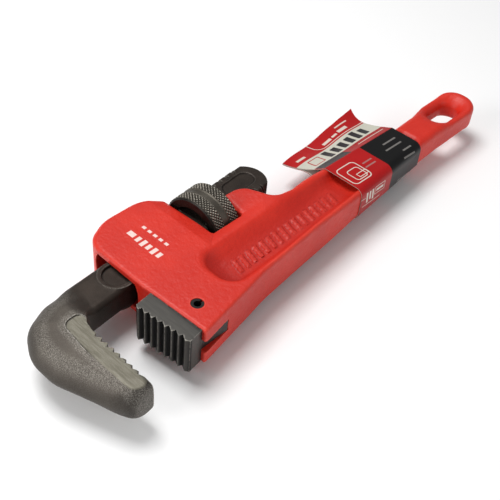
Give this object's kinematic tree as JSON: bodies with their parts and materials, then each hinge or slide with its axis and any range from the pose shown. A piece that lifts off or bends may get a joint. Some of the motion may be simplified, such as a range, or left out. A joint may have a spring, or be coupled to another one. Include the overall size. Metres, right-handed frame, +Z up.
{
  "type": "pipe wrench",
  "caption": "Straight pipe wrench with a red cast handle, a sliding toothed hook jaw, a pinned heel jaw, a knurled adjusting nut and a hang hole.",
  "frame": {"origin": "middle of the wrench's box, on the surface it lies on", "axes": "+X from the jaws towards the hang hole, +Y towards the adjusting nut's side, +Z up from the surface the wrench lies on"},
  "size_m": [0.2318, 0.0664, 0.026],
  "materials": {
    "painted_casting": "red enamel on cast iron, eggshell",
    "forged_steel": "forged scale, ground at the teeth",
    "hardened_steel": "milled, dark heat-treated flanks",
    "black_pin": "blackened spring steel",
    "nut_steel": "knurled, grey-brown",
    "leaf_steel": "spring steel",
    "spring_wire": "drawn wire",
    "rivet_steel": "plain steel",
    "printed_card": "gloss printed card"
  },
  "bodies": {
    "handle": {"handle_body": "painted_casting", "heel_jaw": "hardened_steel", "heel_jaw_pin": "black_pin", "coil_spring": "spring_wire", "label_card": "printed_card"},
    "spring_leaf": {"flat_spring": "leaf_steel", "spring_rivet": "rivet_steel"},
    "hook": {"hook_jaw": "forged_steel"},
    "nut": {"adjusting_nut": "nut_steel"}
  },
  "joints": [
    {"name": "hook_rock", "type": "hinge", "parent": "handle", "child": "spring_leaf", "pos_m": [-0.02902, 0.01477, 0.013], "axis": [0, 0, 1], "range_deg": [-3.5, 1], "stiffness_Nm_per_rad": 20, "deforming": ["coil_spring"]},
    {"name": "jaw_slide", "type": "slide", "parent": "spring_leaf", "child": "hook", "axis": [0.9969, 0.0785, 0], "range_m": [-0.022, 0.0155]},
    {"name": "nut_spin", "type": "hinge", "parent": "spring_leaf", "child": "nut", "pos_m": [-0.02902, 0.01477, 0.013], "axis": [0.9969, 0.0785, 0], "range_deg": [-1400, 1990]}
  ],
  "couplings": [
    {"joint": "nut_spin", "follows": "jaw_slide", "rad_per_m": -1570.8}
  ]
}
